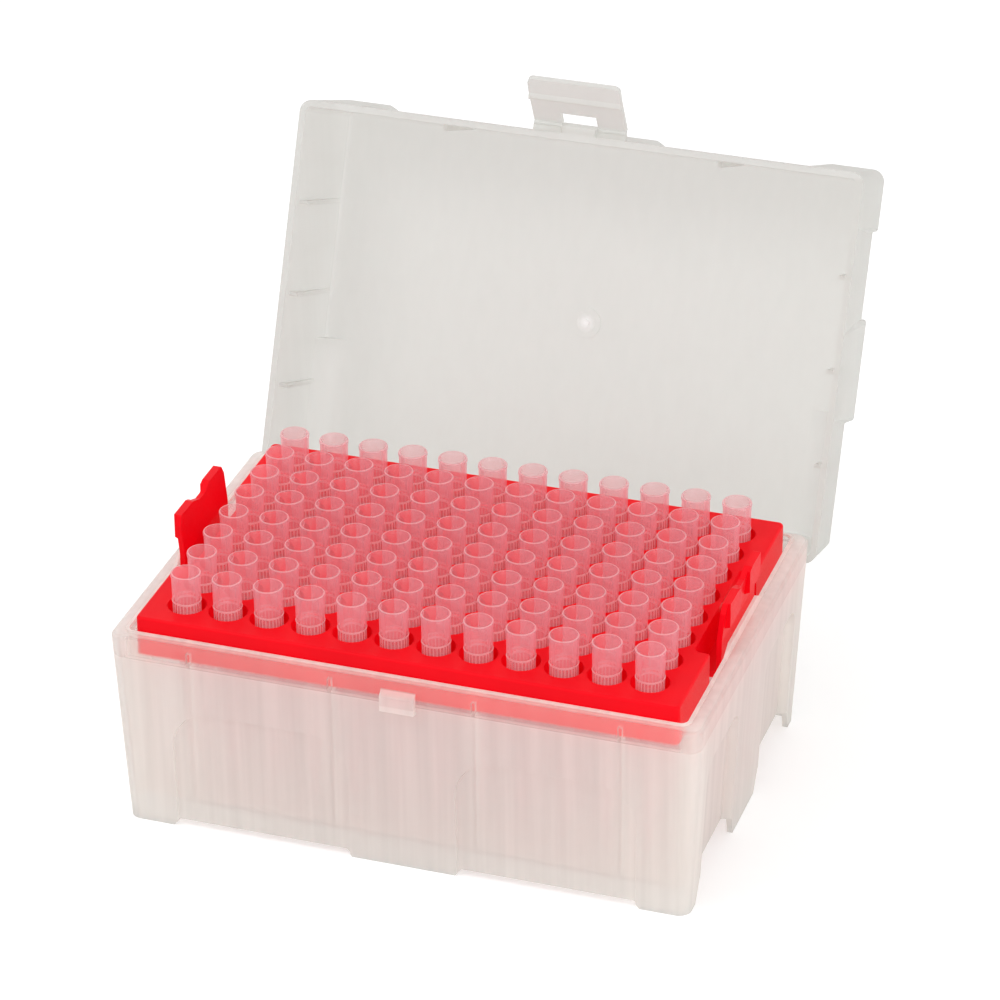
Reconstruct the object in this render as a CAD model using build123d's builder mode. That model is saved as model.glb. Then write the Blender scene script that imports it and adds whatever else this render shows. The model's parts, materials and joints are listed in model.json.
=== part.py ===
from build123d import *
from math import cos, radians, sin, tan
import os

# Hinged rack box for 96 pipette tips: base, insert plate, tips, lid and latch flap.
#
# Millimetres, +Z up.  The origin is the centre of the box's footprint on the table.
# X runs along the 12 columns of tips, Y runs from the front (latch) to the back (hinge).
# The lid and its flap are drawn shut and latched, and then turned to where they stand open.

os.makedirs("parts", exist_ok=True)

# ---------------------------------------------------------------- driving dimensions
# Tips
columns = 12
rows = 8
pitch = 9.0
tip_length = 48.5
tip_tube_height = 6.6        # plain tube between the mouth and the collar
tip_collar_height = 4.1      # collar that stands in the plate's socket
tip_mouth_radius = 3.15
tip_mouth_wall = 0.45
tip_collar_radius = 2.95
tip_body_radius = 2.5        # just under the collar
tip_body_wall = 0.4
tip_waist_radius = 1.15      # where the slim nose begins
tip_nose_height = 11.0
tip_nose_radius = 0.45
tip_nose_bore = 0.22

# Insert plate
socket_clearance = 1.1       # round the collar
socket_depth = 3.0
socket_bore_clearance = 0.15
socket_end_web = 0.85        # between an end socket and the notch's wall
socket_side_web = 3.85       # between an outer socket and the plate's long edge
plate_rise = 48.1            # top of the plate above the table
plate_corner = 1.2
plate_thickness = 4.2
plate_edge_round = 0.6
skirt_depth = 8.6            # foot of the skirt below the plate's top
skirt_wall = 1.6

# Squeeze tabs at the plate's ends
notch_half = 17.5
notch_depth = 3.4
notch_corner = 1.5
tab_half = 12.3
tab_wall = 1.1
tab_gap = 3.3                # between the notch's wall and the tab
tab_web = 1.4                # bend that carries the tab
tab_height = 8.5             # above the plate
tab_lean = 5.5               # degrees outwards
tab_dip_half = 1.2
tab_dip_slope = 3.6
tab_dip = 1.3
tab_shoulder_drop = 2.0
tab_shoulder_run = 1.0
tab_pad_inner = 3.4
tab_pad_outer = 11.2
tab_pad_height = 5.4
tab_pad_reach = 0.6
tab_edge_round = 0.5

# Base
wall = 1.2
end_draft = 2.8              # degrees that the end walls lean in towards the foot
side_draft = 1.55            # the same for the long walls
box_corner = 2.7
sharpest_corner = 0.3        # no inside corner is moulded sharper
ledge_rise = 44.5
ledge_end = 2.85             # ledge outside the lip, at the ends
ledge_side = 1.7             # the same along the long sides
ledge_edge_round = 1.0
lip_height = 0.5
lip_wall_end = 0.7
lip_wall_side = 0.6
lip_clearance_end = 1.65     # between the plate's end and the lip
lip_clearance_side = 0.3
lip_crest = 1.8              # the lip stands higher beside each tab
lip_crest_half = 14.0
lip_crest_slope = 30.0       # degrees
floor_gap = 5.8
floor_thickness = 1.0
end_arch_height = 5.0
end_arch_foot = 8.0          # half width of the middle foot on an end
end_arch_corner = 6.5        # length of a corner foot on an end
end_arch_slope = 2.0
side_arch_height = 1.5
side_arch_foot = 11.2        # half width of the middle foot on a long side
side_arch_corner = 12.5      # length of a corner foot on a long side
side_arch_slope = 1.2
pocket_bevel = 20.0          # degrees that a pocket opens outwards
end_pocket_depth = 2.0
end_pocket_inner = 11.2
end_pocket_corner = 9.7      # from the box's corner to the pocket
end_pocket_top = 30.9
end_pocket_round = 4.0
side_pocket_depth = 0.5
side_pocket_inner = 11.8
side_pocket_corner = 13.5
side_pocket_top = 28.2
side_pocket_round = 8.5
carrier_rib = 0.9            # ribs inside the walls that carry the plate
carrier_ribs_side = 4        # on each long wall
carrier_rib_corner = 17.0    # from the box's end to the first rib on a long wall
carrier_rib_end_corner = 8.0  # from the box's side to the rib on an end wall
carrier_rib_bearing = 1.3    # how far a rib reaches in under the plate's skirt
carrier_nib_height = 2.5     # the ribs go on upwards beside the skirt
carrier_nib_clearance = 0.3
catch_width = 7.3
catch_height = 4.8
catch_top_drop = 1.5         # below the ledge
catch_bevel = 1.4

# Hinge
hinge_drop = 5.0             # axis below the ledge
hinge_inset = 1.8            # axis in from the box's back
hinge_corner = 25.0          # each hinge in from the box's end
pin_radius = 1.2
pin_clearance = 0.05
knuckle_radius = 2.0
knuckle_mouth = 1.9          # the hook snaps over the pin
arm_width = 12.0
arm_side_clearance = 0.8
arm_root = 2.2               # up the lid's wall
hinge_clearance = 0.3
hinge_wall = 0.8
open_angle = 112.5

# Lid
lid_wall = 1.4
lid_overhang = 0.4           # past the base at each end
lid_seat_gap = 0.4
lid_height = 26.0
lid_edge_round = 2.2
lid_end_lean = 2.0           # an end wall stands in this far at the top
lid_side_lean = 1.25
pad_end_lean = 0.8           # the pads lean less and stand proud of the walls
pad_side_lean = 0.1
pad_slope = 1.8
front_pad_half = 11.0
front_pad_corner = 12.5      # length of a corner pad on the front
end_pad_corner = 11.6        # length of a front corner pad on an end
end_pad_front = 7.5          # the end's middle pad reaches this far forward
end_pad_back = 11.0          # and this far back
shoulder_length = 29.0       # the rounder rear shoulders, from the back
shoulder_round = 9.0
lid_rib = 0.8
lid_rib_spacing = 20.3
lid_rib_shift = 0.9          # the row of ribs stands this far behind the middle
lid_rib_reach = 2.0
lid_rib_lift = 2.2           # ribs begin above the rim
lid_rib_clearance = 0.35
front_rib_place = 31.0
front_rib_reach = 1.6
gate_radius = 3.4
gate_height = 0.25
gate_nib_radius = 0.8
gate_nib_height = 0.7

# Latch flap
flap_width = 20.6
flap_length = 13.6
flap_thickness = 1.1
flap_corner = 1.3
flap_axis_out = 1.7          # hinge line out from the lid's front
flap_axis_up = 1.4           # hinge line above the lid's rim
flap_bead_radius = 0.6
flap_bead_clearance = 0.08
flap_ledge_reach = 1.3
flap_ledge_height = 1.6
flap_window_half = 4.0
flap_window_height = 3.9
flap_lip_flare = 0.5
flap_ridge_height = 1.2
flap_ridge_land = 0.4
flap_ridge_reach = 0.8
catch_clearance = 0.3
block_clearance = 0.3
block_height = 2.7
block_reach = 2.3
block_bevel = 0.6
flap_open_angle = 41.0

# ---------------------------------------------------------------- derived places
socket_radius = tip_collar_radius + socket_clearance
socket_bore = tip_body_radius + socket_bore_clearance
notch_wall = (columns - 1) / 2 * pitch + socket_radius + socket_end_web
plate_length = 2 * (notch_wall + notch_depth)
plate_width = (rows - 1) * pitch + 2 * (socket_radius + socket_side_web)
plate_underside = plate_rise - plate_thickness
skirt_foot = plate_rise - skirt_depth
socket_floor = plate_rise - socket_depth
tip_top = socket_floor + tip_collar_height + tip_tube_height
tip_foot = tip_top - tip_length
tab_inner = notch_wall + tab_gap
tab_outer = tab_inner + tab_wall
tab_top = plate_rise + tab_height
tab_shift = tab_height * tan(radians(tab_lean))

lip_half_length = plate_length / 2 + lip_clearance_end
lip_half_width = plate_width / 2 + lip_clearance_side
lip_corner = plate_corner + lip_clearance_side
lip_rise = ledge_rise + lip_height
box_length = 2 * (lip_half_length + lip_wall_end + ledge_end)
box_width = 2 * (lip_half_width + lip_wall_side + ledge_side)
half_length = box_length / 2
half_width = box_width / 2
floor_top = floor_gap + floor_thickness

hinge_place = half_length - hinge_corner
hinge_y = half_width - hinge_inset
hinge_z = ledge_rise - hinge_drop
pocket_width = arm_width + 2 * arm_side_clearance
rim_z = ledge_rise + lid_seat_gap
lid_top = rim_z + lid_height
lid_half_length = half_length + lid_overhang
flap_y = -half_width - flap_axis_out
flap_z = rim_z + flap_axis_up
catch_face = flap_y + catch_clearance
catch_top = ledge_rise - catch_top_drop
catch_foot = catch_top - catch_height
hinge_axis = Axis((0, hinge_y, hinge_z), (1, 0, 0))
flap_axis = Axis((0, flap_y, flap_z), (1, 0, 0))
hinge_plane = Plane(origin=(0, hinge_y, hinge_z), x_dir=(0, 1, 0), z_dir=(1, 0, 0))
flap_plane = Plane(origin=(0, flap_y, flap_z), x_dir=(0, 1, 0), z_dir=(1, 0, 0))


def spread(count, spacing):
    """Places of a row of things about the middle."""
    return [(i - (count - 1) / 2) * spacing for i in range(count)]


# ---------------------------------------------------------------- base
def base_block(inset, low, high):
    """Drafted block of the base's outline, brought in by inset, between two heights."""
    with BuildPart(mode=Mode.PRIVATE) as block:
        for z in (low, high):
            drop = ledge_rise - z
            with BuildSketch(Plane.XY.offset(z)):
                RectangleRounded(
                    box_length - 2 * (inset + drop * tan(radians(end_draft))),
                    box_width - 2 * (inset + drop * tan(radians(side_draft))),
                    max(box_corner - inset, sharpest_corner),
                )
        loft()
    return block.part


def arch_pair(foot, corner, slope, height):
    """Outline of two arches, left and right of a middle foot, in the plane of a wall."""
    with BuildSketch() as arches:
        for side in (-1, 1):
            with BuildLine():
                Polyline(
                    (side * foot, 0),
                    (side * corner, 0),
                    (side * (corner - slope), height),
                    (side * (foot + slope), height),
                    close=True,
                )
            make_face()
    return arches.sketch


end_arches = arch_pair(end_arch_foot, half_width - end_arch_corner, end_arch_slope, end_arch_height)
side_arches = arch_pair(side_arch_foot, half_length - side_arch_corner, side_arch_slope, side_arch_height)


def pocket_pair(plane, inner, outer, top, corner, grow, reach):
    """Room of two pockets side by side in a wall, open at the foot, grown all round."""
    with BuildPart(mode=Mode.PRIVATE) as room:
        with BuildSketch(plane) as outline:
            for side in (-1, 1):
                with Locations((side * (inner + outer) / 2, (top + grow) / 2)):
                    Rectangle(outer - inner + 2 * grow, top + grow)
            fillet(outline.vertices().group_by(Axis.Y)[-1], corner)
        extrude(amount=reach, taper=-pocket_bevel)
    return room.part


def end_pockets(grow):
    """Room of the pockets in the +X end wall."""
    reach = ledge_rise * tan(radians(end_draft)) + end_pocket_depth
    return pocket_pair(
        Plane.YZ.offset(half_length - reach), end_pocket_inner, half_width - end_pocket_corner,
        end_pocket_top, end_pocket_round, grow, reach,
    )


def side_pockets():
    """Room of the shallow pockets in the front wall."""
    reach = ledge_rise * tan(radians(side_draft)) + side_pocket_depth
    return pocket_pair(
        Plane.XZ.offset(half_width - reach), side_pocket_inner, half_length - side_pocket_corner,
        side_pocket_top, side_pocket_round, 0, reach,
    )


def hinge_pocket(grow, length):
    """Room round one hinge, open at the back and at the rim, grown all round, at both hinges."""
    slope = radians(open_angle - 90)
    reach = knuckle_radius + hinge_clearance + grow
    back = 2 * hinge_inset
    front = knuckle_radius - lid_wall - hinge_clearance - grow
    top = lip_rise + lip_crest - hinge_z
    with BuildPart(mode=Mode.PRIVATE) as room:
        for side in (-1, 1):
            with BuildSketch(hinge_plane.offset(side * hinge_place)):
                Circle(reach)
                with BuildLine():
                    Polyline(
                        (front, 0),
                        (front, top),
                        (back, top),
                        (back, -(reach + back * sin(slope)) / cos(slope)),
                        (-reach * sin(slope), -reach * cos(slope)),
                        close=True,
                    )
                make_face()
        extrude(amount=length / 2, both=True)
    return room.part


with BuildPart() as end_backing:
    add(end_pockets(wall))
    add(base_block(0, 0, ledge_rise - wall), mode=Mode.INTERSECT)
    add(base_block(end_pocket_depth + wall, 0, ledge_rise), mode=Mode.SUBTRACT)

with BuildPart() as end_hollow:
    add(end_pockets(0))
    add(base_block(end_pocket_depth, 0, ledge_rise), mode=Mode.SUBTRACT)

with BuildPart() as side_hollow:
    add(side_pockets())
    add(base_block(side_pocket_depth, 0, ledge_rise), mode=Mode.SUBTRACT)

with BuildPart() as hinge_housing:
    add(hinge_pocket(hinge_wall, pocket_width + 2 * hinge_wall))
    add(base_block(0, 0, ledge_rise - ledge_edge_round), mode=Mode.INTERSECT)

with BuildPart() as carrier_ribs:
    spacing = 2 * (half_length - carrier_rib_corner) / (carrier_ribs_side - 1)
    foot = skirt_foot - floor_gap
    for side in (-1, 1):
        align = Align.MAX if side > 0 else Align.MIN
        gap = half_width - plate_width / 2
        with Locations(*[(x, side * half_width, floor_gap) for x in spread(carrier_ribs_side, spacing)]):
            Box(carrier_rib, gap + carrier_rib_bearing, foot, align=(Align.CENTER, align, Align.MIN))
            Box(
                carrier_rib, gap - carrier_nib_clearance, foot + carrier_nib_height,
                align=(Align.CENTER, align, Align.MIN),
            )
        gap = half_length - plate_length / 2
        end_place = half_width - carrier_rib_end_corner
        with Locations(*[(side * half_length, y, floor_gap) for y in (-end_place, end_place)]):
            Box(gap + carrier_rib_bearing, carrier_rib, foot, align=(align, Align.CENTER, Align.MIN))
            Box(
                gap - carrier_nib_clearance, carrier_rib, foot + carrier_nib_height,
                align=(align, Align.CENTER, Align.MIN),
            )
    add(base_block(wall / 2, floor_gap, ledge_rise), mode=Mode.INTERSECT)

with BuildPart() as base:
    add(base_block(0, 0, ledge_rise))
    fillet(base.faces().sort_by(Axis.Z)[-1].edges(), ledge_edge_round)
    # the room inside and the room under the floor
    add(base_block(wall, floor_top, ledge_rise - wall), mode=Mode.SUBTRACT)
    add(base_block(wall, 0, floor_gap), mode=Mode.SUBTRACT)
    # the lip round the opening, with its crests
    with BuildSketch(Plane.XY.offset(ledge_rise - wall)):
        RectangleRounded(
            2 * (lip_half_length + lip_wall_end), 2 * (lip_half_width + lip_wall_side),
            lip_corner + lip_wall_side,
        )
    extrude(amount=lip_height + wall)
    with BuildSketch(Plane.XY.offset(ledge_rise - wall)):
        RectangleRounded(2 * lip_half_length, 2 * lip_half_width, lip_corner)
    extrude(amount=lip_height + wall, mode=Mode.SUBTRACT)
    for side in (-1, 1):
        with BuildSketch(Plane.YZ.offset(side * lip_half_length)):
            with Locations((0, ledge_rise)):
                Trapezoid(
                    2 * lip_crest_half, lip_height + lip_crest, lip_crest_slope,
                    align=(Align.CENTER, Align.MIN),
                )
        extrude(amount=side * lip_wall_end)
    # pockets at the ends and along the sides
    with PolarLocations(0, 2):
        add(end_backing.part)
    with PolarLocations(0, 2):
        add(end_hollow.part, mode=Mode.SUBTRACT)
        add(side_hollow.part, mode=Mode.SUBTRACT)
    # arches between the feet
    with BuildSketch(Plane.YZ):
        add(end_arches)
    extrude(amount=half_length, both=True, mode=Mode.SUBTRACT)
    with BuildSketch(Plane.XZ):
        add(side_arches)
    extrude(amount=half_width, both=True, mode=Mode.SUBTRACT)
    # ribs inside the walls that carry the plate
    add(carrier_ribs.part)
    # hinge pockets and their pins
    add(hinge_housing.part)
    add(hinge_pocket(0, pocket_width), mode=Mode.SUBTRACT)
    for side in (-1, 1):
        with BuildSketch(hinge_plane.offset(side * hinge_place)):
            Circle(pin_radius)
        extrude(amount=(pocket_width + hinge_wall) / 2, both=True)
    # catch for the latch flap
    with BuildSketch(Plane.YZ):
        with BuildLine():
            Polyline(
                (-half_width + wall, catch_foot),
                (catch_face, catch_foot),
                (catch_face, catch_top - catch_bevel),
                (-half_width, catch_top),
                (-half_width + wall, catch_top),
                close=True,
            )
        make_face()
    extrude(amount=catch_width / 2, both=True)


# ---------------------------------------------------------------- insert plate
with BuildPart() as tab:
    # bend at the foot, stem and leaning grip
    with BuildSketch(Plane.XZ):
        with BuildLine():
            Polyline(
                (notch_wall - skirt_wall / 2, skirt_foot),
                (tab_outer, skirt_foot),
                (tab_outer, plate_rise),
                (tab_outer + tab_shift, tab_top),
                (tab_inner + tab_shift, tab_top),
                (tab_inner, plate_rise),
                (tab_inner, skirt_foot + tab_web),
                (notch_wall - skirt_wall / 2, skirt_foot + tab_web),
                close=True,
            )
        make_face()
    extrude(amount=tab_half, both=True)
    # two raised pads on the outer face
    for side in (-1, 1):
        with BuildSketch(Plane.XZ.offset(side * (tab_pad_inner + tab_pad_outer) / 2)):
            with BuildLine():
                Polyline(
                    (tab_inner + tab_wall / 2, tab_top - tab_pad_height - tab_pad_reach),
                    (tab_outer, tab_top - tab_pad_height - tab_pad_reach),
                    (tab_outer + tab_shift + tab_pad_reach, tab_top - tab_pad_height),
                    (tab_outer + tab_shift + tab_pad_reach, tab_top),
                    (tab_inner + tab_shift + tab_wall / 2, tab_top),
                    close=True,
                )
            make_face()
        extrude(amount=(tab_pad_outer - tab_pad_inner) / 2, both=True)
    # outline of the tab: two lobes with a dip between them
    with BuildSketch(Plane.YZ) as outline:
        with BuildLine():
            Polyline(
                (-tab_half, skirt_foot),
                (-tab_half, tab_top - tab_shoulder_drop),
                (-tab_half + tab_shoulder_run, tab_top),
                (-tab_dip_half - tab_dip_slope, tab_top),
                (-tab_dip_half, tab_top - tab_dip),
                (tab_dip_half, tab_top - tab_dip),
                (tab_dip_half + tab_dip_slope, tab_top),
                (tab_half - tab_shoulder_run, tab_top),
                (tab_half, tab_top - tab_shoulder_drop),
                (tab_half, skirt_foot),
                close=True,
            )
        make_face()
        fillet(outline.vertices().filter_by_position(Axis.Y, plate_rise, tab_top), tab_edge_round)
    extrude(amount=half_length, mode=Mode.INTERSECT)

with BuildPart() as insert_plate:
    with BuildSketch(Plane.XY.offset(skirt_foot)):
        RectangleRounded(plate_length, plate_width, plate_corner)
    extrude(amount=skirt_depth)
    fillet(insert_plate.faces().sort_by(Axis.Z)[-1].edges(), plate_edge_round)
    with BuildSketch(Plane.XY.offset(skirt_foot)):
        RectangleRounded(
            plate_length - 2 * skirt_wall, plate_width - 2 * skirt_wall,
            max(plate_corner - skirt_wall, sharpest_corner),
        )
    extrude(amount=skirt_depth - plate_thickness, mode=Mode.SUBTRACT)
    # notches at the ends, each with its own wall below
    for side in (-1, 1):
        with BuildSketch(Plane.XY.offset(skirt_foot)):
            with Locations((side * (notch_wall - skirt_wall / 2), 0)):
                Rectangle(skirt_wall, 2 * (notch_half + skirt_wall))
        extrude(amount=skirt_depth - plate_thickness)
    for side in (-1, 1):
        with BuildSketch(Plane.XY.offset(skirt_foot)) as notch:
            with Locations((side * (notch_wall + notch_depth), 0)):
                Rectangle(2 * notch_depth, 2 * notch_half)
            fillet(notch.vertices(), notch_corner)
        extrude(amount=skirt_depth, mode=Mode.SUBTRACT)
    # sockets
    with BuildSketch(Plane.XY.offset(socket_floor)):
        with GridLocations(pitch, pitch, columns, rows):
            Circle(socket_radius)
    extrude(amount=socket_depth, mode=Mode.SUBTRACT)
    with BuildSketch(Plane.XY.offset(plate_underside)):
        with GridLocations(pitch, pitch, columns, rows):
            Circle(socket_bore)
    extrude(amount=plate_thickness, mode=Mode.SUBTRACT)
    # room for the hinge pockets behind
    with BuildSketch(Plane.XY.offset(skirt_foot)):
        for side in (-1, 1):
            with Locations((side * hinge_place, plate_width / 2)):
                depth = plate_width / 2 - hinge_y + knuckle_radius + 2 * hinge_clearance + hinge_wall
                Rectangle(pocket_width + 2 * hinge_wall + 2 * hinge_clearance, 2 * depth)
    extrude(amount=skirt_depth - plate_thickness, mode=Mode.SUBTRACT)
    # squeeze tabs
    with PolarLocations(0, 2):
        add(tab.part)


# ---------------------------------------------------------------- tips
def tip_column(x):
    """One column of tips, standing in the plate's sockets."""
    collar_top = socket_floor + tip_collar_height
    with BuildPart() as column:
        for y in spread(rows, pitch):
            centre = Plane(origin=(x, y, 0), x_dir=(1, 0, 0), z_dir=(0, -1, 0))
            with BuildSketch(centre):
                with BuildLine():
                    Polyline(
                        (tip_nose_bore, tip_foot),
                        (tip_nose_radius, tip_foot),
                        (tip_waist_radius, tip_foot + tip_nose_height),
                        (tip_body_radius, socket_floor),
                        (tip_collar_radius, socket_floor),
                        (tip_collar_radius, collar_top),
                        (tip_mouth_radius, tip_top),
                        (tip_mouth_radius - tip_mouth_wall, tip_top),
                        (tip_collar_radius - tip_mouth_wall, collar_top),
                        (tip_body_radius - tip_body_wall, collar_top - tip_mouth_wall),
                        (tip_body_radius - tip_body_wall, socket_floor),
                        (tip_waist_radius - tip_body_wall, tip_foot + tip_nose_height),
                        close=True,
                    )
                make_face()
            revolve(axis=Axis((x, y, 0), (0, 0, 1)))
    return column


tip_columns = [tip_column(x) for x in spread(columns, pitch)]


# ---------------------------------------------------------------- lid, drawn shut
def lid_block(inset, end_lean, side_lean):
    """Block of the lid's outline, brought in by inset, leaning in to its rounded top."""
    with BuildPart(mode=Mode.PRIVATE) as block:
        for z, share in ((rim_z, 0), (lid_top - inset, 1)):
            with BuildSketch(Plane.XY.offset(z)):
                RectangleRounded(
                    2 * (lid_half_length - inset - share * end_lean),
                    2 * (half_width - inset - share * side_lean),
                    max(box_corner - inset, sharpest_corner),
                )
        loft()
        fillet(block.faces().sort_by(Axis.Z)[-1].edges(), max(lid_edge_round - inset, sharpest_corner / 2))
    return block.part


def shoulder_waste(shrink):
    """What the rounder shoulders take off the ends behind the middle."""
    centre_x = lid_half_length - shoulder_round - lid_end_lean * (1 - shoulder_round / lid_height)
    centre_z = lid_top - shoulder_round
    with BuildPart(mode=Mode.PRIVATE) as waste:
        with BuildSketch(Plane.XZ.offset(shrink - half_width + shoulder_length)):
            for side in (-1, 1):
                with Locations((side * (centre_x + shoulder_round), centre_z + shoulder_round)):
                    Rectangle(2 * shoulder_round, 2 * shoulder_round)
                with Locations((side * centre_x, centre_z)):
                    Circle(shoulder_round - shrink, mode=Mode.SUBTRACT)
        extrude(amount=-2 * shoulder_length)
    return waste.part


def pad_plan(low, high):
    """Plan of one pad that hugs a wall, sloping down to the wall at both sides."""
    deep = lid_edge_round + lid_end_lean
    with BuildSketch() as plan:
        with BuildLine():
            Polyline(
                (low - pad_slope, -deep),
                (low - pad_slope, -lid_side_lean),
                (low, 0),
                (low, lid_side_lean),
                (high, lid_side_lean),
                (high, 0),
                (high + pad_slope, -lid_side_lean),
                (high + pad_slope, -deep),
                close=True,
            )
        make_face()
    return plan.sketch


front = Plane(origin=(0, -half_width, rim_z), x_dir=(-1, 0, 0), z_dir=(0, 0, 1))
right = Plane(origin=(lid_half_length, 0, rim_z), x_dir=(0, -1, 0), z_dir=(0, 0, 1))
left = Plane(origin=(-lid_half_length, 0, rim_z), x_dir=(0, 1, 0), z_dir=(0, 0, 1))
pad_spans = (
    (front, -front_pad_half, front_pad_half),
    (front, lid_half_length - front_pad_corner, lid_half_length),
    (front, -lid_half_length, front_pad_corner - lid_half_length),
    (right, half_width - end_pad_corner, half_width),
    (right, -end_pad_back, end_pad_front),
    (left, -half_width, end_pad_corner - half_width),
    (left, -end_pad_front, end_pad_back),
)

with BuildPart() as pads:
    for plane, low, high in pad_spans:
        with BuildSketch(plane):
            add(pad_plan(low, high))
        extrude(amount=lid_height)
    add(lid_block(0, pad_end_lean, pad_side_lean), mode=Mode.INTERSECT)

with BuildPart() as lid_room:
    add(lid_block(lid_wall, lid_end_lean, lid_side_lean))
    add(shoulder_waste(lid_wall), mode=Mode.SUBTRACT)

with BuildPart() as lid_ribs:
    # the middle rib on each end stops short of the squeeze tab
    middle_reach = lid_half_length - lid_wall - tab_outer - tab_shift - lid_rib_clearance
    for side in (-1, 1):
        align = Align.MAX if side > 0 else Align.MIN
        for row, reach in ((-1, lid_rib_reach), (0, middle_reach), (1, lid_rib_reach)):
            y = row * lid_rib_spacing + lid_rib_shift
            with Locations((side * lid_half_length, y, rim_z + lid_rib_lift)):
                Box(lid_wall + reach, lid_rib, lid_height, align=(align, Align.CENTER, Align.MIN))
        for x in (-front_rib_place, front_rib_place):
            with Locations((x, side * half_width, plate_rise + lid_rib_clearance)):
                Box(lid_rib, lid_wall + front_rib_reach, lid_height, align=(Align.CENTER, align, Align.MIN))
    add(lid_block(lid_wall / 2, lid_end_lean, lid_side_lean), mode=Mode.INTERSECT)
    add(shoulder_waste(lid_wall / 2), mode=Mode.SUBTRACT)

with BuildPart() as closed_lid:
    add(lid_block(0, lid_end_lean, lid_side_lean))
    add(pads.part)
    add(shoulder_waste(0), mode=Mode.SUBTRACT)
    add(lid_room.part, mode=Mode.SUBTRACT)
    add(lid_ribs.part)
    # gate mark inside the top
    with Locations((0, 0, lid_top - lid_wall)):
        Cylinder(gate_radius, gate_height, align=(Align.CENTER, Align.CENTER, Align.MAX))
        Cylinder(gate_nib_radius, gate_nib_height, align=(Align.CENTER, Align.CENTER, Align.MAX))
    # hinge arms that end in hooks
    for side in (-1, 1):
        with BuildSketch(hinge_plane.offset(side * hinge_place)):
            Circle(knuckle_radius)
            root = rim_z + arm_root - hinge_z
            with Locations((knuckle_radius - lid_wall / 2, root / 2)):
                Rectangle(lid_wall, root)
            Circle(pin_radius + pin_clearance, mode=Mode.SUBTRACT)
            with Locations((-knuckle_radius / 2 - pin_radius / 2, 0)):
                Rectangle(knuckle_radius + pin_radius, knuckle_mouth, mode=Mode.SUBTRACT)
        extrude(amount=arm_width / 2, both=True)
    # ledges that the flap hangs on, and the block between them
    for side in (-1, 1):
        with BuildSketch(flap_plane.offset(side * (flap_width / 2 + flap_window_half) / 2)):
            with Locations((flap_axis_out + lid_wall / 2, 0)):
                Rectangle(
                    flap_ledge_reach + lid_wall / 2, flap_ledge_height, align=(Align.MAX, Align.CENTER)
                )
            Circle(flap_bead_radius + flap_bead_clearance, mode=Mode.SUBTRACT)
        extrude(amount=(flap_width / 2 - flap_window_half) / 2, both=True)
    with Locations((0, -half_width + lid_wall / 2, rim_z)):
        Box(
            2 * (flap_window_half - block_clearance), block_reach + lid_wall / 2, block_height,
            align=(Align.CENTER, Align.MAX, Align.MIN),
        )
    chamfer(closed_lid.edges().filter_by(Axis.X).sort_by(Axis.Y)[:2], block_bevel)

with BuildPart() as lid:
    add(closed_lid.part.rotate(hinge_axis, -open_angle))


# ---------------------------------------------------------------- latch flap, drawn latched
with BuildPart() as closed_flap:
    ridge_top = catch_foot - catch_clearance - flap_z
    with BuildSketch(flap_plane):
        with BuildLine():
            Polyline(
                (0, 0),
                (0, ridge_top),
                (flap_ridge_reach, ridge_top),
                (flap_ridge_reach, ridge_top - flap_ridge_land),
                (0, ridge_top - flap_ridge_height),
                (-flap_lip_flare, -flap_length),
                (-flap_lip_flare - flap_thickness, -flap_length),
                (-flap_thickness, ridge_top - flap_ridge_height),
                (-flap_thickness, 0),
                close=True,
            )
        make_face()
        Circle(flap_bead_radius)
    extrude(amount=flap_width / 2, both=True)
    # rounded free corners
    with BuildSketch(Plane.XZ.offset(half_width)) as outline:
        with Locations((0, flap_z - flap_length)):
            Rectangle(flap_width, flap_length + 2 * flap_bead_radius, align=(Align.CENTER, Align.MIN))
        fillet(outline.vertices().group_by(Axis.Y)[0], flap_corner)
    extrude(amount=flap_axis_out + flap_thickness + flap_lip_flare + lid_wall, both=True, mode=Mode.INTERSECT)
    # window at the hinge line
    with Locations((0, flap_y, flap_z)):
        Box(
            2 * flap_window_half, 4 * flap_thickness, 2 * flap_window_height,
            mode=Mode.SUBTRACT,
        )

with BuildPart() as latch_flap:
    add(closed_flap.part.rotate(flap_axis, -flap_open_angle).rotate(hinge_axis, -open_angle))


# ---------------------------------------------------------------- export
sub_parts = {"base": base, "insert_plate": insert_plate, "lid": lid, "latch_flap": latch_flap}
for column, tips in enumerate(tip_columns, start=1):
    sub_parts[f"tips_column_{column:02d}"] = tips
for name, piece in sub_parts.items():
    piece.part.label = name
    export_step(piece.part, f"parts/{name}.step")
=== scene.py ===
"""Looks of the box of pipette tips: finishes, ribbed tips, floor, light and camera.

Lengths are metres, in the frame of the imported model.
"""
import json
import math

import bmesh
import bpy
from mathutils import Matrix, Vector


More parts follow.
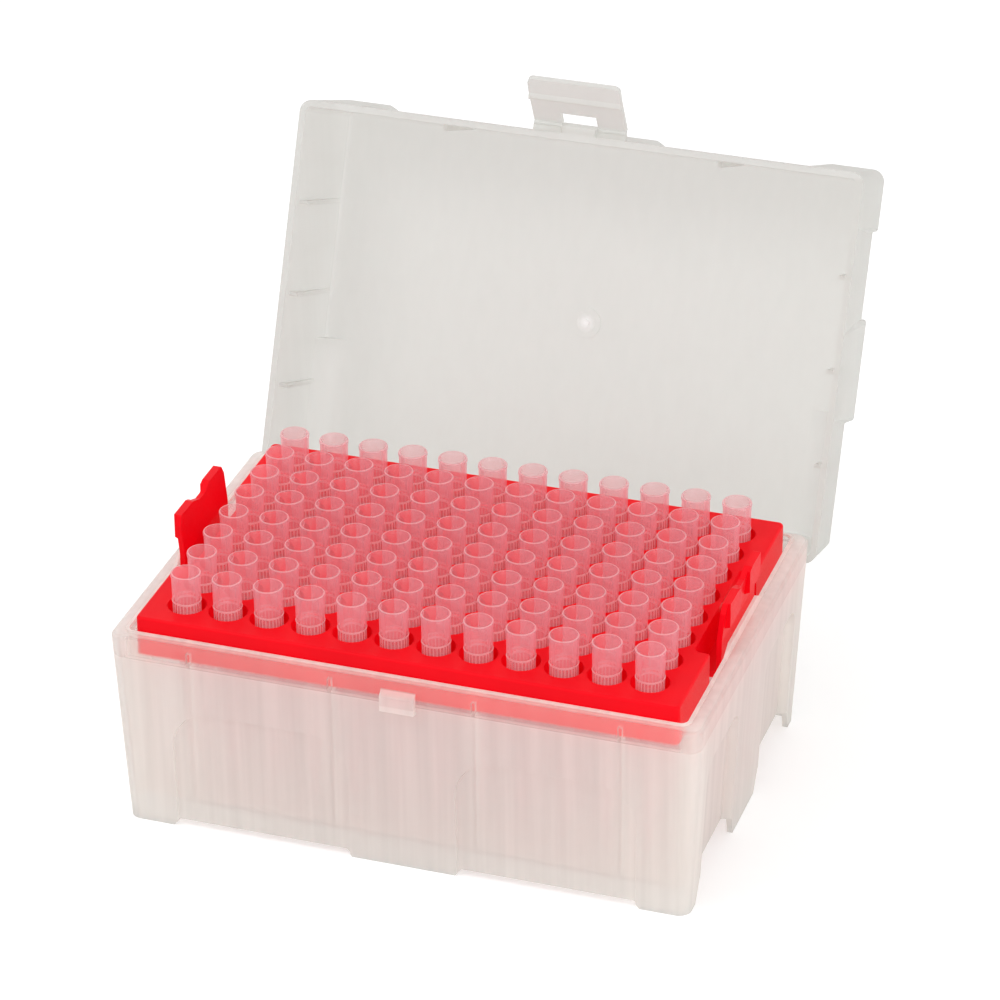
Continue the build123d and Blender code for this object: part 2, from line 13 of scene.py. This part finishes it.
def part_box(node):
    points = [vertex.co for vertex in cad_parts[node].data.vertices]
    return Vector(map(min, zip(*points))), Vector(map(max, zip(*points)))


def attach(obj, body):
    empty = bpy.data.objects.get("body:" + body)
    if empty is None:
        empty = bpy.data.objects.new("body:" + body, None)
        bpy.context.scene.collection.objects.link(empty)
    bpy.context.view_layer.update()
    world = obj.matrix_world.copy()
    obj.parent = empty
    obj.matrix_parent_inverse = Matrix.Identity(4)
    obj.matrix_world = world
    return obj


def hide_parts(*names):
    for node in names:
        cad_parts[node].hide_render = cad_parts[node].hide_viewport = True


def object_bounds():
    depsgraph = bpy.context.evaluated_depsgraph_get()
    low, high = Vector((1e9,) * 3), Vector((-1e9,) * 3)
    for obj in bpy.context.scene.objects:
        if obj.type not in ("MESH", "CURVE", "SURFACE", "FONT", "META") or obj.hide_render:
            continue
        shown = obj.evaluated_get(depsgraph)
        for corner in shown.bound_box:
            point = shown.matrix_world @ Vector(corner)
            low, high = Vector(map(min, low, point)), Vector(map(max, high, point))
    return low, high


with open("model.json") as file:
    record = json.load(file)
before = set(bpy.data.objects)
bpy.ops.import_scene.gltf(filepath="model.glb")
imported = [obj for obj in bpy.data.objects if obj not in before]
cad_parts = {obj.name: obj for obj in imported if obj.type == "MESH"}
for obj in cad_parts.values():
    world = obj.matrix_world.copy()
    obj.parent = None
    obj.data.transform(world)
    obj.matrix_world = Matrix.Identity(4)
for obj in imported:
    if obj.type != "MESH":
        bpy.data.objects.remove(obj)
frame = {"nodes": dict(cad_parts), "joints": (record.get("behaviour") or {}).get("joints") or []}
cad_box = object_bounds()

MM = 0.001
COLUMNS = 12
ROWS = 8

# ---------------------------------------------------------------- colours (scene linear)
RED = (0.92, 0.002, 0.010)
BASE_TINT = (1.0, 0.97, 0.93)
LID_TINT = (0.83, 0.83, 0.80)
# pink of the tips: painted red light that the colourless tips take up from the red plate; the lighter
# frost tint is also painted highlight
TIP_RED_BOUNCE_TINT = (1.0, 0.45, 0.50)
FROST_HIGHLIGHT_RED_BOUNCE_TINT = (1.0, 0.72, 0.74)
WHITE = (1.0, 1.0, 1.0)
FLOOR_COLOUR = (0.86, 0.86, 0.86)


# ---------------------------------------------------------------- node helpers
def new_material(name):
    """An empty node material and its tree."""
    material = bpy.data.materials.new(name)
    material.use_nodes = True
    material.node_tree.nodes.clear()
    return material, material.node_tree


def node(tree, kind, **values):
    """A node of that kind, with its plain input values set by name."""
    made = tree.nodes.new(kind)
    for key, value in values.items():
        made.inputs[key.replace("_", " ")].default_value = value
    return made


def mixed(tree, first, second, share):
    """A mix of two shaders; share is how much the second has, as a number or a socket."""
    mix = tree.nodes.new("ShaderNodeMixShader")
    tree.links.new(first.outputs[0], mix.inputs[1])
    tree.links.new(second.outputs[0], mix.inputs[2])
    if isinstance(share, (int, float)):
        mix.inputs[0].default_value = share
    else:
        tree.links.new(share, mix.inputs[0])
    return mix


def finish_material(tree, shader):
    """Joins a shader to the material's output."""
    output = tree.nodes.new("ShaderNodeOutputMaterial")
    tree.links.new(shader.outputs[0], output.inputs["Surface"])


def object_place(tree):
    """The place of a point in the object's own coordinates, so that a finish moves with its piece."""
    return tree.nodes.new("ShaderNodeTexCoord").outputs["Object"]


def noise(tree, repeats, detail, stretch=(1, 1, 1)):
    """Noise over the object's own coordinates; repeats are per metre."""
    mapping = node(tree, "ShaderNodeMapping", Scale=stretch)
    tree.links.new(object_place(tree), mapping.inputs["Vector"])
    texture = node(tree, "ShaderNodeTexNoise", Scale=repeats, Detail=detail, Roughness=0.5)
    tree.links.new(mapping.outputs["Vector"], texture.inputs["Vector"])
    return texture.outputs["Fac"]


def ramp(tree, fac, low, high, low_at=0.3, high_at=0.7):
    """A colour that runs from low to high with fac."""
    stops = tree.nodes.new("ShaderNodeValToRGB")
    stops.color_ramp.elements[0].position = low_at
    stops.color_ramp.elements[1].position = high_at
    stops.color_ramp.elements[0].color = (*low, 1)
    stops.color_ramp.elements[1].color = (*high, 1)
    tree.links.new(fac, stops.inputs["Fac"])
    return stops.outputs["Color"]


def grey_ramp(tree, fac, low, high, low_at=0.3, high_at=0.7):
    """A number that runs from low to high with fac."""
    return ramp(tree, fac, (low,) * 3, (high,) * 3, low_at, high_at)


def rise_between(tree, value, start, end):
    """0 up to the start, rising to 1 at the end."""
    step = node(tree, "ShaderNodeMapRange", From_Min=start, From_Max=end)
    tree.links.new(value, step.inputs["Value"])
    return step.outputs["Result"]


def shade(colour, factor):
    """A colour made lighter or darker."""
    return tuple(min(1.0, channel * factor) for channel in colour)


def place_step(tree, axis, place, rise):
    """0 up to a distance from the middle along an axis, or up to a height, and 1 past it."""
    split = tree.nodes.new("ShaderNodeSeparateXYZ")
    tree.links.new(object_place(tree), split.inputs["Vector"])
    distance = tree.nodes.new("ShaderNodeMath")
    distance.operation = "ABSOLUTE"
    tree.links.new(split.outputs[axis], distance.inputs[0])
    return rise_between(tree, distance.outputs[0], place - rise / 2, place + rise / 2)


def times(tree, first, second):
    """The product of two sockets."""
    product = tree.nodes.new("ShaderNodeMath")
    product.operation = "MULTIPLY"
    tree.links.new(first, product.inputs[0])
    tree.links.new(second, product.inputs[1])
    return product.outputs[0]


def stepped(tree, share, axis, place, rise, near, far):
    """A share that is multiplied by near up to a place along an axis, and by far past it."""
    factor = node(tree, "ShaderNodeMapRange", To_Min=near, To_Max=far)
    tree.links.new(place_step(tree, axis, place, rise), factor.inputs["Value"])
    return times(tree, share, factor.outputs["Result"])


def past_radius(tree, centre, radius):
    """0 close to a point, rising to 1 at the radius from it."""
    distance = tree.nodes.new("ShaderNodeVectorMath")
    distance.operation = "DISTANCE"
    distance.inputs[1].default_value = centre
    tree.links.new(object_place(tree), distance.inputs[0])
    return rise_between(tree, distance.outputs["Value"], GATE_HIGHLIGHT_CORE * radius, radius)


# ---------------------------------------------------------------- materials
GRAIN_DEPTH = 0.05 * MM
SATIN = (0.30, 0.42)         # roughness in the low and high spots of the grain
GATE_HIGHLIGHT_RADIUS = 2.2 * MM       # of the whiter spot, a painted highlight at the gate
GATE_HIGHLIGHT_CORE = 0.3              # share of the radius where the painted highlight is whitest


def satin(tree, skin, repeats, strength):
    """Gives a shader the fine grain of a moulded surface."""
    grain = noise(tree, repeats, detail=2.0)
    tree.links.new(grey_ramp(tree, grain, *SATIN), skin.inputs["Roughness"])
    uneven = node(tree, "ShaderNodeBump", Strength=strength, Distance=GRAIN_DEPTH)
    tree.links.new(grain, uneven.inputs["Height"])
    tree.links.new(uneven.outputs["Normal"], skin.inputs["Normal"])


def milk(tree, skin, colour, backlit):
    """Cloudy plastic: a coloured skin, with a share that lights up from behind."""
    glow = tree.nodes.new("ShaderNodeBsdfTranslucent")
    for shader in (skin, glow):
        tree.links.new(colour, shader.inputs[0])
    return mixed(tree, skin, glow, backlit)


def red_plastic():
    """Bright opaque moulded plastic with a fine satin grain."""
    material, tree = new_material("insert_red")
    body = node(tree, "ShaderNodeBsdfPrincipled", IOR=1.46, Specular_IOR_Level=0.10)
    flow = noise(tree, repeats=60, detail=2.0)
    tree.links.new(ramp(tree, flow, shade(RED, 0.90), RED), body.inputs["Base Color"])
    satin(tree, body, repeats=1800, strength=0.10)
    finish_material(tree, body)
    return material


def frosted_plastic(name, tint, clear, streak, steps=(), gate=None):
    """Natural polypropylene: milky, with what stands close behind it showing through.

    clear is the share that shows through face on, and streak shades the flow lines.
    Each step changes how clear the wall looks past a place (see stepped).
    The gate is the point where the plastic was let in; a painted highlight shows there as a whiter
    spot.
    """
    material, tree = new_material(name)
    flow = noise(tree, repeats=420, detail=3.0, stretch=(1, 1, 0.02))
    colour = ramp(tree, flow, shade(tint, streak), tint)
    # painted highlight: a white spot at the gate
    if gate:
        spot = tree.nodes.new("ShaderNodeMix")
        spot.data_type = "RGBA"
        spot.inputs["A"].default_value = (*WHITE, 1)
        tree.links.new(past_radius(tree, gate, GATE_HIGHLIGHT_RADIUS), spot.inputs["Factor"])
        tree.links.new(colour, spot.inputs["B"])
        colour = spot.outputs["Result"]
    skin = node(tree, "ShaderNodeBsdfPrincipled", IOR=1.49)
    satin(tree, skin, repeats=1500, strength=0.12)
    cloudy = milk(tree, skin, colour, backlit=0.45)
    straight = node(tree, "ShaderNodeBsdfTransparent", Color=(*WHITE, 1))
    spread = node(tree, "ShaderNodeBsdfRefraction", Color=(*WHITE, 1), Roughness=0.22, IOR=1.15)
    pane = mixed(tree, straight, spread, share=0.35)
    view = node(tree, "ShaderNodeLayerWeight", Blend=0.35)
    share = grey_ramp(tree, view.outputs["Facing"], low=clear, high=0.05, low_at=0.45, high_at=1.0)
    for step in steps:
        share = stepped(tree, share, **step)
    # the painted highlight at the gate is also less see-through
    if gate:
        share = times(tree, share, past_radius(tree, gate, GATE_HIGHLIGHT_RADIUS))
    finish_material(tree, mixed(tree, cloudy, pane, share))
    return material


def clear_plastic(name, tint, face_on, edge_on):
    """Thin clear polypropylene: see-through face on, whiter and shinier towards its edges.

    face_on and edge_on are the shares that show through. The tint is painted light: its pink stands
    for the red light that the colourless tips take up from the red plate.
    """
    material, tree = new_material(name)
    streaks = noise(tree, repeats=900, detail=2.0, stretch=(1, 1, 0.04))
    colour = ramp(tree, streaks, shade(tint, 0.95), tint)
    cloudy = milk(tree, node(tree, "ShaderNodeBsdfDiffuse"), colour, backlit=0.5)
    straight = node(tree, "ShaderNodeBsdfTransparent", Color=(*WHITE, 1))
    bent = node(tree, "ShaderNodeBsdfGlass", Color=(*WHITE, 1), Roughness=0.05, IOR=1.3)
    pane = mixed(tree, straight, bent, share=0.04)
    view = node(tree, "ShaderNodeLayerWeight", Blend=0.3).outputs["Facing"]
    share = grey_ramp(tree, view, low=face_on, high=edge_on, low_at=0.15, high_at=0.9)
    shine = node(tree, "ShaderNodeBsdfAnisotropic", Color=(*WHITE, 1), Roughness=0.12)
    gloss = grey_ramp(tree, view, low=0.02, high=0.20, low_at=0.4, high_at=0.95)
    finish_material(tree, mixed(tree, mixed(tree, cloudy, pane, share), shine, gloss))
    return material


LIP_AND_CREST = 2.3 * MM     # from the base's ledge to its highest point
CATCH_REACH = 1.2 * MM       # out from the front wall
TAB_REACH = 2.0 * MM         # the tabs lean out past the plate's ends
LID_INSIDE = 69.5 * MM       # height of the lid's inner top when it is shut
EDGE = 0.3 * MM              # width of a sharp change of finish
END_FADE = 5.0 * MM          # width of the soft one past the plate's ends
PLATE_LOW, PLATE_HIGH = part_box("insert_plate")
SKIRT_FOOT = PLATE_LOW[2]
PLATE_END = PLATE_HIGH[0] - TAB_REACH
FRONT_WALL = -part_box("base")[0][1] - CATCH_REACH
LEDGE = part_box("base")[1][2] - LIP_AND_CREST

BASE_STEPS = (
    # the wall is milkier below the plate's skirt, on the lip, past the plate's ends and on the catch
    {"axis": "Z", "place": SKIRT_FOOT, "rise": EDGE, "near": 0.50, "far": 1.0},
    {"axis": "Z", "place": LEDGE, "rise": EDGE, "near": 1.0, "far": 0.15},
    {"axis": "X", "place": PLATE_END + END_FADE / 2, "rise": END_FADE, "near": 1.0, "far": 0.55},
    {"axis": "Y", "place": FRONT_WALL, "rise": EDGE, "near": 1.0, "far": 0.4},
)


def lid_gate():
    """The middle of the lid's inner top, where it stands with the lid open."""
    joint = next(joint for joint in frame["joints"] if joint["name"] == "lid_hinge")
    hinge = Vector(joint["pos_m"])
    opening = Matrix.Rotation(-math.radians(joint["range_deg"][1]), 3, "X")
    return hinge + opening @ (Vector((0, 0, LID_INSIDE)) - hinge)


def repaint(name, material):
    """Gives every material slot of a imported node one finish."""
    for slot in frame["nodes"][name].material_slots:
        slot.material = material


repaint("insert_plate", red_plastic())
repaint("base", frosted_plastic("base_frosted", BASE_TINT, clear=0.80, streak=0.90, steps=BASE_STEPS))
repaint("lid", frosted_plastic("lid_frosted", LID_TINT, clear=0.36, streak=0.98, gate=lid_gate()))
repaint("latch_flap", frosted_plastic("flap_frosted", LID_TINT, clear=0.36, streak=0.98))
# the tips' pink tints are painted red light from the plate
TIP_CLEAR = clear_plastic("tip_clear", TIP_RED_BOUNCE_TINT, face_on=0.75, edge_on=0.45)
# the frosted tip finish is whiter, and on the rims, beads and groove lines it is partly painted
# highlight
TIP_FROST_AND_HIGHLIGHT = clear_plastic("tip_frost_and_highlight", FROST_HIGHLIGHT_RED_BOUNCE_TINT, face_on=0.40, edge_on=0.20)

# ---------------------------------------------------------------- tips
RIBS = 24
STEPS_PER_RIB = 3
RIB_HEIGHT = 0.16 * MM
COLLAR_TOP = 6.6 * MM        # this and the next two are depths below the mouth
COLLAR_FOOT = 10.7 * MM
WAIST = 37.5 * MM
WALL = 0.45 * MM
BODY_WALL = 0.4 * MM
BODY_RADIUS = 2.5 * MM
WAIST_RADIUS = 1.15 * MM
NOSE_RADIUS = 0.45 * MM
NOSE_BORE = 0.22 * MM
COLLAR_RADIUS = 2.95 * MM
LIP_BAND = 0.7 * MM
LIP_PROUD = 0.06 * MM
RIM_OUTSIDE = (0.10 * MM, 0.30 * MM)     # depths at which the rim's outer edge turns down
RIM_INSIDE = 0.15 * MM                   # and its inner edge
RIM_TOP = (0.75, 0.3)                    # shares of the wall that the flat top spans
BEAD = 0.12 * MM             # ring over the ribs
TURN = 0.25 * MM             # height of a bevel or of half the bead
# finishes of the tip bands; the frosted ones are whiter and partly painted highlight
CLEAR, FROST_AND_HIGHLIGHT, FROSTED_GROOVE_HIGHLIGHTS = range(3)


def tip_rings(mouth_radius, length):
    """Rings of one tip, outside from mouth to nose and back up inside.

    Each is (depth below the mouth, radius, share of the rib height, finish of the band that follows).
    """
    tube = mouth_radius - 2 * LIP_PROUD
    groove = COLLAR_RADIUS - RIB_HEIGHT
    # the frosted bands on the rim top and at the bead are partly painted highlight
    return [
        (RIM_OUTSIDE[0], mouth_radius - LIP_PROUD, 0, CLEAR),
        (RIM_OUTSIDE[1], mouth_radius, 0, CLEAR),
        (LIP_BAND, mouth_radius, 0, CLEAR),
        (LIP_BAND + TURN, tube, 0, CLEAR),
        (COLLAR_TOP - 2 * TURN, COLLAR_RADIUS, 0, FROST_AND_HIGHLIGHT),
        (COLLAR_TOP - TURN, COLLAR_RADIUS + BEAD, 0, FROST_AND_HIGHLIGHT),
        (COLLAR_TOP, groove, 1, FROSTED_GROOVE_HIGHLIGHTS),
        (COLLAR_TOP + TURN, groove, 1, FROSTED_GROOVE_HIGHLIGHTS),
        (COLLAR_FOOT - TURN, groove, 1, FROSTED_GROOVE_HIGHLIGHTS),
        (COLLAR_FOOT, groove, 1, FROST_AND_HIGHLIGHT),
        (COLLAR_FOOT, BODY_RADIUS, 0, FROST_AND_HIGHLIGHT),
        (WAIST, WAIST_RADIUS, 0, FROST_AND_HIGHLIGHT),
        (length, NOSE_RADIUS, 0, FROST_AND_HIGHLIGHT),
        (length, NOSE_BORE, 0, CLEAR),
        (WAIST, WAIST_RADIUS - BODY_WALL, 0, CLEAR),
        (COLLAR_FOOT, BODY_RADIUS - BODY_WALL, 0, CLEAR),
        (COLLAR_TOP + 2 * TURN, BODY_RADIUS - BODY_WALL, 0, FROST_AND_HIGHLIGHT),
        (COLLAR_TOP, COLLAR_RADIUS - WALL - TURN, 0, CLEAR),
        (COLLAR_TOP - 2 * TURN, COLLAR_RADIUS - WALL, 0, CLEAR),
        (RIM_INSIDE, mouth_radius - WALL, 0, CLEAR),
        (0, mouth_radius - WALL * RIM_TOP[0], 0, FROST_AND_HIGHLIGHT),
        (0, mouth_radius - WALL * RIM_TOP[1], 0, FROST_AND_HIGHLIGHT),
    ]


def add_tip(mesh, centre, top, mouth_radius, length):
    """Adds one tip to a bmesh."""
    count = RIBS * STEPS_PER_RIB
    rows = tip_rings(mouth_radius, length)
    rings = []
    for depth, radius, rib, _ in rows:
        ring = []
        for index in range(count):
            proud = rib * RIB_HEIGHT if index % STEPS_PER_RIB == 0 else 0
            angle = 2 * math.pi * index / count
            out = radius + proud
            spot = (centre[0] + out * math.cos(angle), centre[1] + out * math.sin(angle), top - depth)
            ring.append(mesh.verts.new(spot))
        rings.append(ring)
    for (_, _, _, finish), upper, lower in zip(rows, rings, rings[1:] + rings[:1]):
        for index in range(count):
            after = (index + 1) % count
            face = mesh.faces.new((upper[index], lower[index], lower[after], upper[after]))
            face.smooth = True
            # the frosted middle face of each groove is a whiter line, partly painted highlight along
            # the ribs
            groove = finish == FROSTED_GROOVE_HIGHLIGHTS and index % STEPS_PER_RIB == 1
            face.material_index = int(finish == FROST_AND_HIGHLIGHT or groove)


def tip_piece(name):
    """Ribbed tips in the place of one packed column of tips."""
    low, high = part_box(name)
    mouth_radius = (high[0] - low[0]) / 2
    pitch = (high[1] - low[1] - 2 * mouth_radius) / (ROWS - 1)
    mesh = bmesh.new()
    for row in range(ROWS):
        centre = ((low[0] + high[0]) / 2, low[1] + mouth_radius + row * pitch)
        add_tip(mesh, centre, high[2], mouth_radius, high[2] - low[2])
    data = bpy.data.meshes.new(name + "_ribbed")
    mesh.to_mesh(data)
    mesh.free()
    for material in (TIP_CLEAR, TIP_FROST_AND_HIGHLIGHT):
        data.materials.append(material)
    piece = bpy.data.objects.new(name + "_ribbed", data)
    bpy.context.scene.collection.objects.link(piece)
    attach(piece, "base")
    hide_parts(name)


for column in range(1, COLUMNS + 1):
    tip_piece(f"tips_column_{column:02d}")

# ---------------------------------------------------------------- floor and backdrop
FLOOR_SIZE = 6.0
FLOOR_GLOW = 0.28            # added where the camera sees the floor
SEEN_WHITE = 1.0             # strength of the surroundings where they are seen
SKY_LIGHT = 0.82             # and where they light the object


def backdrop_material():
    """White floor: seen white, with the object's shadow left on it."""
    material, tree = new_material("white_floor")
    cloth = node(tree, "ShaderNodeBsdfDiffuse", Color=(*FLOOR_COLOUR, 1))
    bright = node(tree, "ShaderNodeEmission", Color=(*WHITE, 1), Strength=FLOOR_GLOW)
    lit = tree.nodes.new("ShaderNodeAddShader")
    tree.links.new(cloth.outputs[0], lit.inputs[0])
    tree.links.new(bright.outputs[0], lit.inputs[1])
    path = tree.nodes.new("ShaderNodeLightPath")
    finish_material(tree, mixed(tree, cloth, lit, path.outputs["Is Camera Ray"]))
    return material


def add_floor():
    """A wide floor under the feet."""
    mesh = bmesh.new()
    bmesh.ops.create_grid(mesh, x_segments=1, y_segments=1, size=FLOOR_SIZE / 2)
    data = bpy.data.meshes.new("floor")
    mesh.to_mesh(data)
    mesh.free()
    data.materials.append(backdrop_material())
    floor = bpy.data.objects.new("floor", data)
    bpy.context.scene.collection.objects.link(floor)


add_floor()


def set_world():
    """Even white surroundings, pure white where they are seen directly or mirrored."""
    world = bpy.data.worlds.new("studio")
    bpy.context.scene.world = world
    world.use_nodes = True
    tree = world.node_tree
    tree.nodes.clear()
    path = tree.nodes.new("ShaderNodeLightPath")
    seen = node(tree, "ShaderNodeBackground", Color=(*WHITE, 1), Strength=SEEN_WHITE)
    light = node(tree, "ShaderNodeBackground", Color=(*WHITE, 1), Strength=SKY_LIGHT)
    output = tree.nodes.new("ShaderNodeOutputWorld")
    sight = tree.nodes.new("ShaderNodeMath")
    sight.operation = "MAXIMUM"
    tree.links.new(path.outputs["Is Camera Ray"], sight.inputs[0])
    tree.links.new(path.outputs["Is Glossy Ray"], sight.inputs[1])
    tree.links.new(mixed(tree, light, seen, sight.outputs[0]).outputs[0], output.inputs["Surface"])


set_world()


def add_lamp(name, place, target, size, power, shadow):
    """A soft round lamp that faces a point; its size is in metres and its power in watts.

    Without a shadow it reaches into the clear parts.
    """
    data = bpy.data.lights.new(name, "AREA")
    data.use_shadow = shadow
    data.shape = "DISK"
    data.size = size
    data.energy = power
    lamp = bpy.data.objects.new(name, data)
    lamp.location = place
    lamp.rotation_euler = (Vector(target) - Vector(place)).to_track_quat("-Z", "Y").to_euler()
    bpy.context.scene.collection.objects.link(lamp)


middle = tuple((low + high) / 2 for low, high in zip(*cad_box))
add_lamp("key", place=(-0.55, -0.45, 0.95), target=middle, size=0.55, power=2.6, shadow=True)
add_lamp("front_fill", place=(0.85, -0.60, 0.45), target=middle, size=0.7, power=3.2, shadow=False)

# ---------------------------------------------------------------- camera
AZIMUTH = math.radians(18.53)
ELEVATION = math.radians(29.04)
ROLL = math.radians(-0.30)
DISTANCE = 0.93763           # from the middle of the tips' mouths
PAN = (7.22 * MM, 7.51 * MM)     # sideways and up
LENS = 163.31                # the lens and its sensor, in millimetres
SENSOR = 36.0


def add_camera():
    """Camera at the height and side from which the box is usually pictured."""
    back = Vector((
        math.sin(AZIMUTH) * math.cos(ELEVATION),
        -math.cos(AZIMUTH) * math.cos(ELEVATION),
        math.sin(ELEVATION),
    ))
    right = Vector((0, 0, 1)).cross(back).normalized()
    up = back.cross(right)
    turned_right = right * math.cos(ROLL) + up * math.sin(ROLL)
    turned_up = up * math.cos(ROLL) - right * math.sin(ROLL)
    data = bpy.data.cameras.new("camera")
    data.lens = LENS
    data.sensor_width = SENSOR
    camera = bpy.data.objects.new("camera", data)
    mouths = Vector((0, 0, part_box("tips_column_01")[1][2]))
    place = mouths + back * DISTANCE + turned_right * PAN[0] + turned_up * PAN[1]
    axes = Matrix((turned_right, turned_up, back)).transposed().to_4x4()
    camera.matrix_world = Matrix.Translation(place) @ axes
    bpy.context.scene.collection.objects.link(camera)
    bpy.context.scene.camera = camera


add_camera()
bpy.context.scene.view_settings.view_transform = "Standard"
